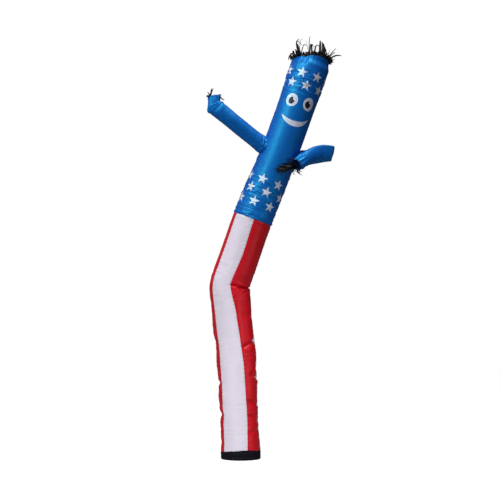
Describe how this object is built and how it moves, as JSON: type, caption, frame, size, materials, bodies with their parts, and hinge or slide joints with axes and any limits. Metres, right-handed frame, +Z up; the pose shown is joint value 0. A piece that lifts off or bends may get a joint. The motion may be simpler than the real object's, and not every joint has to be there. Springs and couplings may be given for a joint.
{
  "type": "inflatable air dancer",
  "caption": "Tall inflated cloth tube with a smiling face, striped lower half, starry upper half, two arms and black fringe, standing bent at the knee on its base collar.",
  "frame": {"origin": "middle of the bounding box, on the surface that the base collar stands on", "axes": "+Z up along the tube, -Y towards the side with the face, +X to the viewer's right"},
  "size_m": [1.5858, 0.681, 4.8084],
  "materials": {
    "black_band": "matt woven band",
    "white_nylon": "satin ripstop nylon",
    "red_nylon": "satin ripstop nylon",
    "blue_nylon": "satin ripstop nylon, printed with white stars and a face",
    "black_fringe": "thin nylon strips"
  },
  "bodies": {
    "root": {"base_collar": "black_band", "stripe_panel_1_white": "white_nylon", "stripe_panel_2_red": "red_nylon", "stripe_panel_3_white": "white_nylon", "stripe_panel_4_red": "red_nylon", "stripe_panel_5_white": "white_nylon", "stripe_panel_6_red": "red_nylon", "chest_and_head": "blue_nylon", "left_arm": "blue_nylon", "right_arm": "blue_nylon", "head_fringe": "black_fringe", "left_hand_fringe": "black_fringe", "right_hand_fringe": "black_fringe"}
  },
  "joints": []
}
